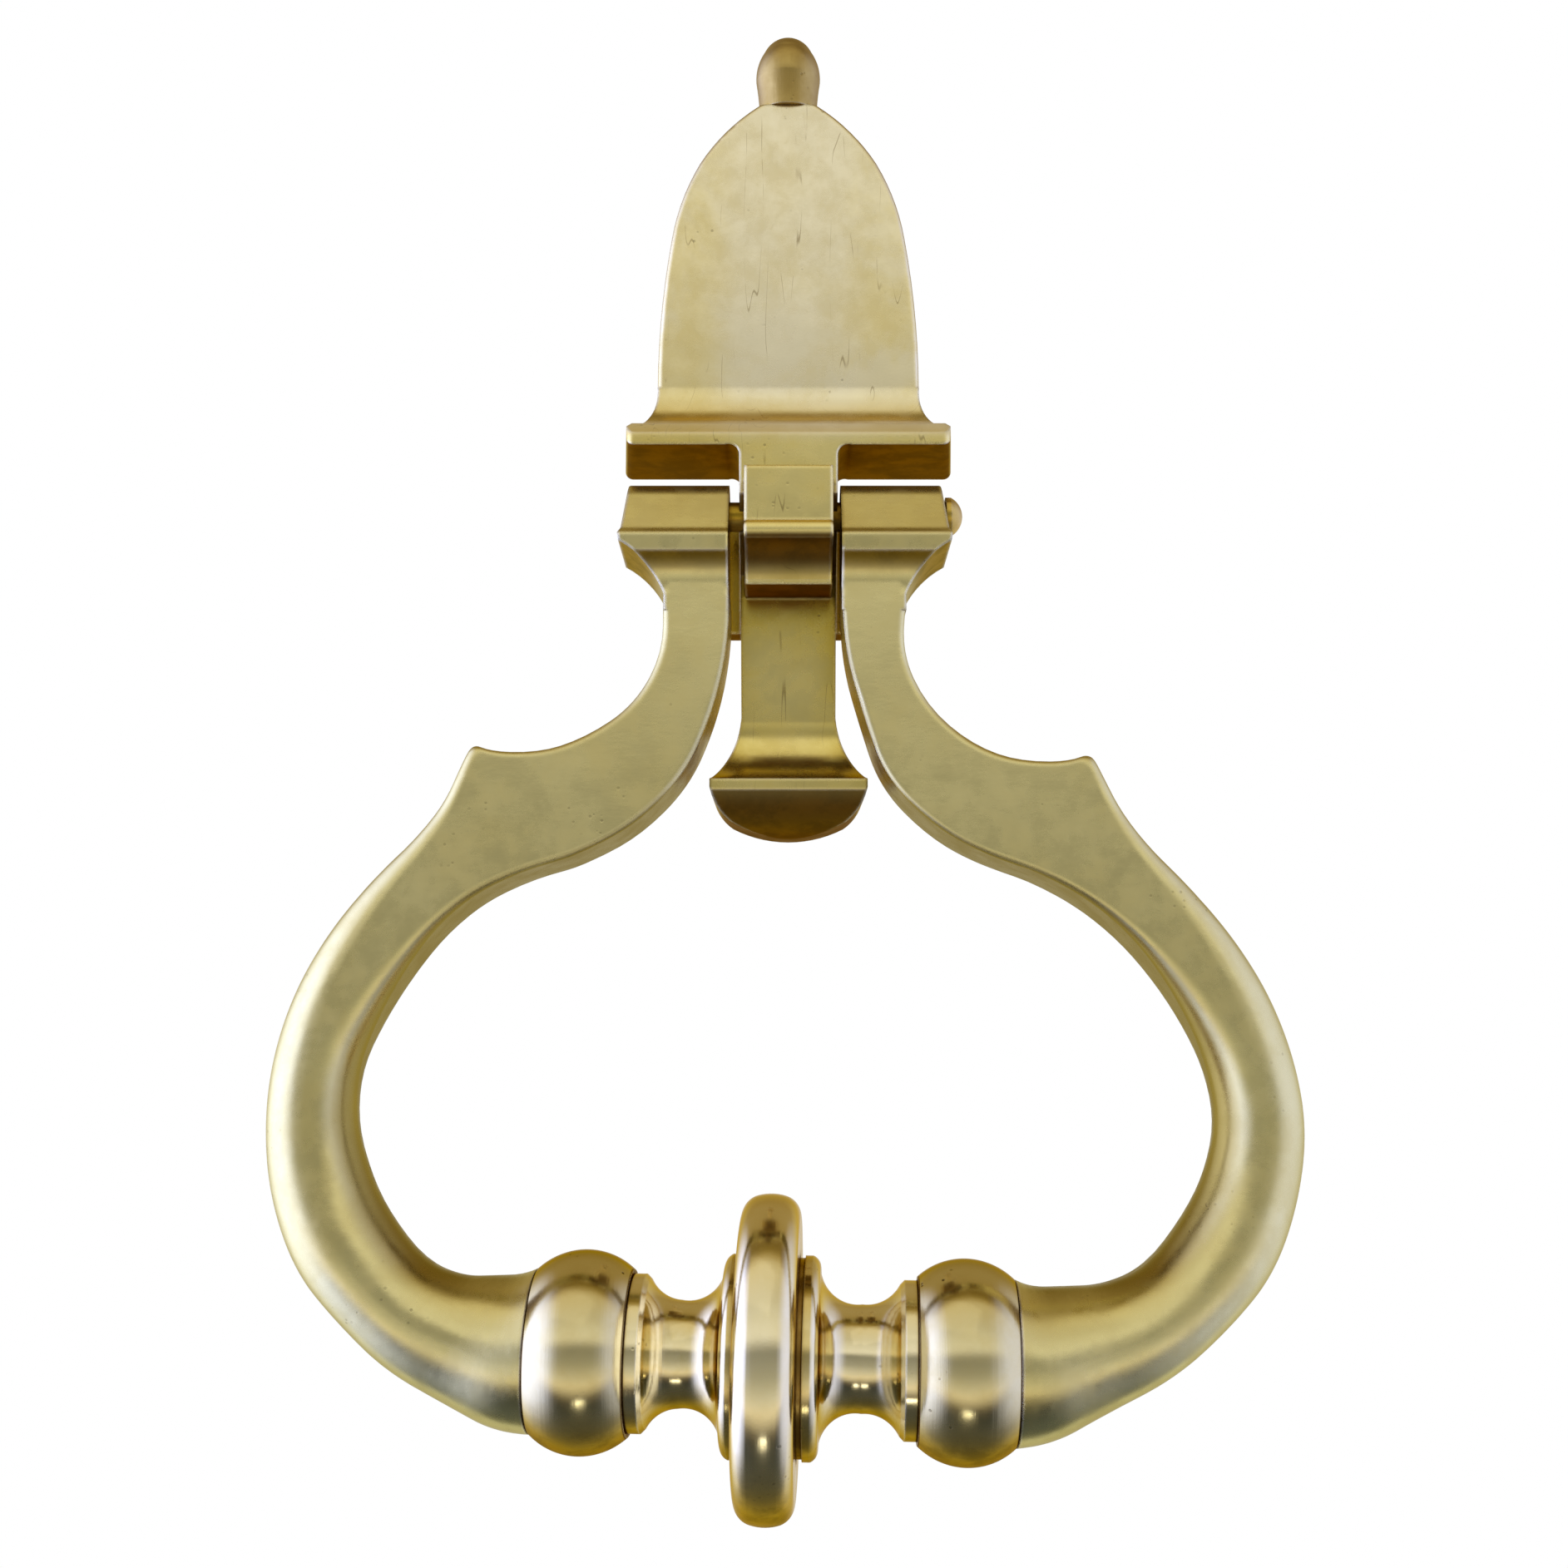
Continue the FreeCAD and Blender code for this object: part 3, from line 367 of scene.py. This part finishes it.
def roughness(n, look, spot, blotch, dirt, under_shade):
    """Rougher in blotches, where it is dirty and in the dull band."""
    gloss = n.math("ADD", n.ramp(blotch, 0.3, 0.7, look.rough * 0.8, look.rough * 1.25),
                   n.math("MULTIPLY", n.math("ADD", dirt, under_shade), 0.25), clamp=True)
    if look.dull is not None:
        low, high = look.dull
        rise = n.ramp(spot["Z"], low - DULL_FADE, low, 0.0, 0.3)
        fall = n.ramp(spot["Z"], high, high + DULL_FADE, 1.0, 0.0)
        gloss = n.math("ADD", gloss, n.math("MULTIPLY", rise, fall))
    return gloss


def relief(n, look, place, pit, rounded):
    """The normal with rubbing marks, fine grain, pits, turning lines and slow unevenness."""
    marks = n.noise(n.stretch(place, look.grain), 1.0, 3.0, 0.6)
    fine = n.noise(place, FINE_SCALE, 2.0, 0.5)
    height = n.math("ADD", marks, n.math("MULTIPLY", fine, 0.35))
    height = n.math("SUBTRACT", height, n.math("MULTIPLY", pit, 4.0))
    if look.ring is not None:
        height = n.math("ADD", height, turning_lines(n, look.ring))
    normal = n.bump(height, look.grain_depth, 1.0, rounded)
    return n.bump(n.noise(place, WAVE_SCALE, 2.0, 0.5), WAVE_HEIGHT, look.wave, normal)


def turning_lines(n, axis_scale):
    """Fine uneven rings left by the lathe, square to the X axis."""
    rings = n.noise(n.stretch(n.coordinate("Object"), (axis_scale, 0.0, 0.0)), 1.0, 4.0, 0.7)
    return n.math("MULTIPLY", rings, 1.6)


# ---------------------------------------------------------------- the metals

METALS = {
    "plate_brass": dict(
        clean=(0.91, 0.82, 0.54), warm=(0.80, 0.66, 0.28), rough=0.25,
        grain=(900.0, 900.0, 60.0), edge=0.8 * MM, scratches=0.55,
        under_colour=(0.19, 0.085, 0.005), close=0.80, closed_colour=(0.74, 0.53, 0.03),
        golden=16 * MM, sides=(7 * MM, 17 * MM), dull=(13.5 * MM, 17.5 * MM),
        rim_colour=(0.5, 0.35, 0.1), seed=0.3),
    "finial_brass": dict(
        clean=(0.50, 0.36, 0.11), warm=(0.36, 0.23, 0.05), rough=0.36,
        grain=(1600.0, 1600.0, 50.0), grain_depth=0.04 * MM, seed=1.1),
    "arm_brass": dict(
        clean=(0.78, 0.68, 0.30), warm=(0.70, 0.57, 0.20), rough=0.27,
        grain=(300.0, 300.0, 900.0), edge=0.9 * MM, inside=HAND_OPENING,
        under_colour=(0.42, 0.25, 0.02), under_low=-22 * MM, close=0.62,
        rim_colour=(0.66, 0.62, 0.46), seams=(SEAM,), seed=2.2),
    "turned_brass": dict(
        clean=(0.88, 0.78, 0.48), warm=(0.82, 0.68, 0.30), rough=0.12,
        grain=(2400.0, 40.0, 40.0), wave=0.15, ring=1500.0,
        rim_colour=(0.62, 0.45, 0.14), seams=(COLLAR,), seed=3.4),
    "ball_brass": dict(
        clean=(0.75, 0.65, 0.34), warm=(0.68, 0.54, 0.20), rough=0.18,
        grain=(2400.0, 40.0, 40.0), wave=0.2, ring=900.0, pits=0.8,
        rim_colour=(0.48, 0.33, 0.08), seams=(SEAM, COLLAR), seed=8.9),
    "disc_brass": dict(
        clean=(0.88, 0.78, 0.48), warm=(0.82, 0.68, 0.32), rough=0.15,
        grain=(900.0, 40.0, 40.0), wave=0.2, ring=900.0,
        rim_colour=(0.62, 0.45, 0.14), seed=4.5),
    "pin_brass": dict(
        clean=(0.62, 0.44, 0.12), warm=(0.46, 0.28, 0.05), rough=0.24,
        grain=(200.0, 900.0, 900.0), seed=5.6),
    "fixing_brass": dict(
        clean=(0.80, 0.65, 0.30), warm=(0.62, 0.44, 0.16), rough=0.30,
        grain=(900.0, 100.0, 900.0), seed=6.7),
    "rod_steel": dict(
        clean=(0.55, 0.55, 0.56), warm=(0.38, 0.34, 0.30), rough=0.34,
        grain=(2400.0, 60.0, 60.0), seed=7.8),
}

METAL_OF_NODE = {
    "back_plate": "plate_brass",
    "acorn_finial": "finial_brass",
    "left_arm": "arm_brass",
    "right_arm": "arm_brass",
    "left_ball": "ball_brass",
    "right_ball": "ball_brass",
    "left_spool": "turned_brass",
    "right_spool": "turned_brass",
    "disc_washer": "turned_brass",
    "striker_disc": "disc_brass",
    "hinge_pin": "pin_brass",
    "tie_rod": "rod_steel",
    "upper_stud": "fixing_brass",
    "lower_stud": "fixing_brass",
    "door_washers": "fixing_brass",
    "door_nuts": "fixing_brass",
}


def dress_all():
    """Gives every CAD node its metal, and puts threaded studs in place of the plain ones."""
    metals = {name: brass(name, **settings) for name, settings in METALS.items()}
    for node, metal in METAL_OF_NODE.items():
        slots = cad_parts[node].data.materials
        slots.clear()
        slots.append(metals[metal])
    for node in ("upper_stud", "lower_stud"):
        threaded_stud(node, metals["fixing_brass"])


# ---------------------------------------------------------------- studs

THREAD_PITCH = 1.0 * MM
THREAD_START = 40.0 * MM
THREAD_RUN_IN = 0.2 * MM
THREAD_ROOT = 2.62 * MM
SHANK_START = -1.0 * MM
SHANK_RADIUS = 2.99 * MM
STUD_SIDES = 32
STUD_RINGS_PER_PITCH = 8
STUD_CHAMFER = 0.6 * MM


def stud_rings(start, end):
    """The place along Y and the radii of each ring of a stud: the end screwed into the plate,
    the shank, and the helical thread with a chamfered tip."""
    rings = [(start, [THREAD_ROOT] * STUD_SIDES),
             (SHANK_START, [THREAD_ROOT] * STUD_SIDES),
             (SHANK_START, [SHANK_RADIUS] * STUD_SIDES),
             (THREAD_START - THREAD_RUN_IN, [SHANK_RADIUS] * STUD_SIDES)]
    depth = SHANK_RADIUS - THREAD_ROOT
    steps = int((end - THREAD_START) / THREAD_PITCH * STUD_RINGS_PER_PITCH)
    for step in range(steps + 1):
        y = THREAD_START + (end - THREAD_START) * step / steps
        chamfer = SHANK_RADIUS - STUD_CHAMFER + (end - y)
        radii = []
        for side in range(STUD_SIDES):
            phase = ((y - THREAD_START) / THREAD_PITCH - side / STUD_SIDES) % 1.0
            radii.append(min(THREAD_ROOT + depth * abs(2 * phase - 1), chamfer))
        rings.append((y, radii))
    return rings


def threaded_stud(node, material):
    """A stud with a real helical thread on its free end, in place of the plain CAD one."""
    low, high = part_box(node)
    middle_x = (low.x + high.x) / 2
    middle_z = (low.z + high.z) / 2
    rings = stud_rings(low.y, high.y)
    points = []
    for y, radii in rings:
        for side, radius in enumerate(radii):
            angle = 2 * math.pi * side / STUD_SIDES
            points.append((middle_x + radius * math.cos(angle), y,
                           middle_z + radius * math.sin(angle)))
    faces = []
    for first in range(0, (len(rings) - 1) * STUD_SIDES, STUD_SIDES):
        second = first + STUD_SIDES
        for side in range(STUD_SIDES):
            after = (side + 1) % STUD_SIDES
            faces.append((first + side, second + side, second + after, first + after))
    last = (len(rings) - 1) * STUD_SIDES
    faces.append(tuple(range(STUD_SIDES)))
    faces.append(tuple(last + side for side in reversed(range(STUD_SIDES))))
    mesh = bpy.data.meshes.new(node + "_threaded")
    mesh.from_pydata(points, [], faces)
    mesh.validate()
    mesh.materials.append(material)
    piece = add(node + "_threaded", mesh)
    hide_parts(node)
    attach(piece, "plate")


# ---------------------------------------------------------------- room

# What surrounds the knocker, by the angle about the X axis: 0 is straight out from the door,
# 90 straight up, -90 straight down and 180 the door's side.
SURROUNDINGS = [
    (-180, (0.90, 0.88, 0.80)),
    (-118, (0.72, 0.75, 0.76)),
    (-109, (0.11, 0.12, 0.12)),
    (-94, (0.11, 0.13, 0.16)),
    (-53, (0.045, 0.05, 0.055)),
    (-44, (0.14, 0.12, 0.10)),
    (-36, (0.55, 0.50, 0.42)),
    (-29, (0.88, 0.80, 0.68)),
    (-20, (0.72, 0.70, 0.66)),
    (-5, (0.42, 0.42, 0.40)),
    (14, (0.27, 0.27, 0.26)),
    (19, (0.56, 0.55, 0.54)),
    (24, (0.88, 0.87, 0.88)),
    (34, (0.80, 0.79, 0.77)),
    (50, (0.64, 0.61, 0.54)),
    (78, (0.64, 0.56, 0.38)),
    (84, (0.40, 0.30, 0.10)),
    (89, (0.21, 0.14, 0.025)),
    (96, (0.18, 0.12, 0.03)),
    (110, (0.36, 0.27, 0.11)),
    (150, (0.44, 0.36, 0.20)),
    (180, (0.90, 0.88, 0.80)),
]

# Cooler light from the sides. It starts where a direction's X part is SIDE_START, and it is
# full straight to the side.
LEFT_SIDE = (1.62, 1.85, 3.60)
RIGHT_SIDE = (0.88, 0.96, 1.60)
SIDE_START = 0.45

BACKDROP_WHITE = (1.0, 1.0, 1.0)

FLOOR_HALF_WIDTH = 1.2
FLOOR_HEIGHT = -0.55
FLOOR_COLOUR = (0.92, 0.94, 0.76)

# The area lights: place, the point that it shines at, width, height and power in watts.
SOFTBOXES = {
    "top_box": ((-0.3, -0.7, 1.2), (0, 0, -0.05), 1.6, 1.0, 0.6),
    "low_spot": ((0, -0.365, -0.509), (0, -0.03, -0.137), 0.10, 0.05, 0.05),
}


def room():
    """Soft surroundings for the polished brass to mirror: pale, grey straight in front, dark
    low in front, brighter on the left. The camera itself sees only white."""
    world = bpy.data.worlds.new("studio")
    bpy.context.scene.world = world
    world.use_nodes = True
    n = Nodes(world.node_tree)
    side, depth, up = n.split(n.coordinate("Generated"))
    turn = n.math("ARCTAN2", up, n.math("MULTIPLY", depth, -1.0))
    turn = n.math("ADD", n.math("DIVIDE", turn, 2.0 * math.pi), 0.5)
    bands = n.new("ShaderNodeValToRGB")
    n.link(turn, bands.inputs[0])
    stops = bands.color_ramp.elements
    for number, (angle, colour) in enumerate(SURROUNDINGS):
        spot = angle / 360.0 + 0.5
        stop = stops[number] if number < 2 else stops.new(spot)
        stop.position = spot
        stop.color = (*colour, 1.0)
    lit = n.mix(n.ramp(side, -SIDE_START, -1.0), bands.outputs[0], LEFT_SIDE)
    lit = n.mix(n.ramp(side, SIDE_START, 1.0), lit, RIGHT_SIDE)
    mirrored = n.new("ShaderNodeBackground")
    n.feed(mirrored.inputs["Color"], lit)
    seen = n.new("ShaderNodeBackground")
    n.feed(seen.inputs["Color"], BACKDROP_WHITE)
    which = n.new("ShaderNodeMixShader")
    n.link(n.new("ShaderNodeLightPath").outputs["Is Camera Ray"], which.inputs[0])
    n.link(mirrored.outputs[0], which.inputs[1])
    n.link(seen.outputs[0], which.inputs[2])
    output = n.new("ShaderNodeOutputWorld")
    n.link(which.outputs[0], output.inputs["Surface"])


def softbox(name, place, aim, width, height, power):
    """An area light that points at a spot."""
    light = bpy.data.lights.new(name, "AREA")
    light.shape = "RECTANGLE"
    light.size = width
    light.size_y = height
    light.energy = power
    thing = add(name, light)
    thing.location = place
    direction = Vector(aim) - Vector(place)
    thing.rotation_euler = direction.to_track_quat("-Z", "Y").to_euler()


def floor():
    """A plain pale floor well below the knocker. The brass doesn't mirror it."""
    reach = FLOOR_HALF_WIDTH
    corners_xy = [(-reach, -reach), (reach, -reach), (reach, reach), (-reach, reach)]
    mesh = bpy.data.meshes.new("floor")
    mesh.from_pydata([(x, y, FLOOR_HEIGHT) for x, y in corners_xy], [], [(0, 1, 2, 3)])
    material = bpy.data.materials.new("floor_pale")
    material.use_nodes = True
    shader = material.node_tree.nodes["Principled BSDF"]
    shader.inputs["Base Color"].default_value = (*FLOOR_COLOUR, 1.0)
    shader.inputs["Roughness"].default_value = 0.9
    mesh.materials.append(material)
    thing = add("floor", mesh)
    thing.visible_glossy = False


def camera():
    data = bpy.data.cameras.new("camera")
    data.sensor_width = 36.0
    data.lens = CAMERA_LENS
    data.clip_start = 0.01
    thing = add("camera", data)
    thing.location = CAMERA_PLACE
    thing.rotation_euler = (math.radians(90.0 + CAMERA_PITCH), 0.0, 0.0)
    bpy.context.scene.camera = thing


bpy.context.scene.view_settings.view_transform = "Standard"
camera()
room()
floor()
for name, settings in SOFTBOXES.items():
    softbox(name, *settings)
dress_all()
